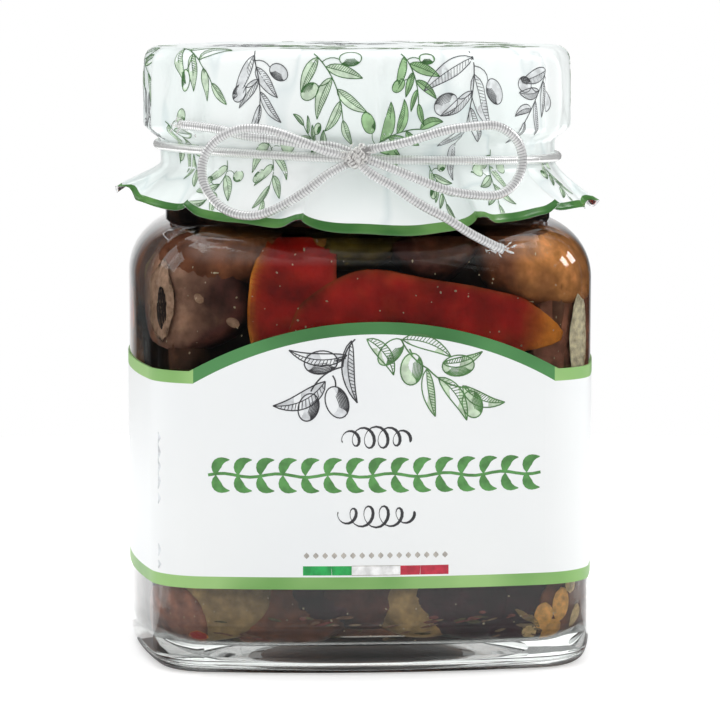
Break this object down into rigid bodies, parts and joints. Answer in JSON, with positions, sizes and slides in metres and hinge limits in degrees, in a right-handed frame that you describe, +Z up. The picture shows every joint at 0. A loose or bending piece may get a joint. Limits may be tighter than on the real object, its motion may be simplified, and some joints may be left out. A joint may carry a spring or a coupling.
{
  "type": "jar of olives",
  "caption": "Square glass jar of mixed olives in oil with a wrap-round paper label, a twist-off lid under a foil paper cover and a tied elastic bow.",
  "frame": {"origin": "Centre of the jar's foot, on the surface it stands on.", "axes": "+Z is up through the lid, the label's arch and the bow face -Y, +X is to the right seen from the front."},
  "size_m": [0.0688, 0.0688, 0.0863],
  "materials": {
    "glass": "clear, glossy",
    "olives": "dark brown and purple olives, wet with oil",
    "lid_metal": "lacquered steel",
    "foil_paper": "satin foil paper, printed",
    "label_paper": "smooth coated paper, printed",
    "elastic": "silver braid"
  },
  "bodies": {
    "root": {"glass_jar": "glass", "contents": "olives", "lid": "lid_metal", "lid_cover": "foil_paper", "label": "label_paper", "cord_band": "elastic", "bow_knot": "elastic", "bow_loop_left": "elastic", "bow_loop_right": "elastic", "bow_tail_left": "elastic", "bow_tail_right": "elastic"}
  },
  "joints": []
}
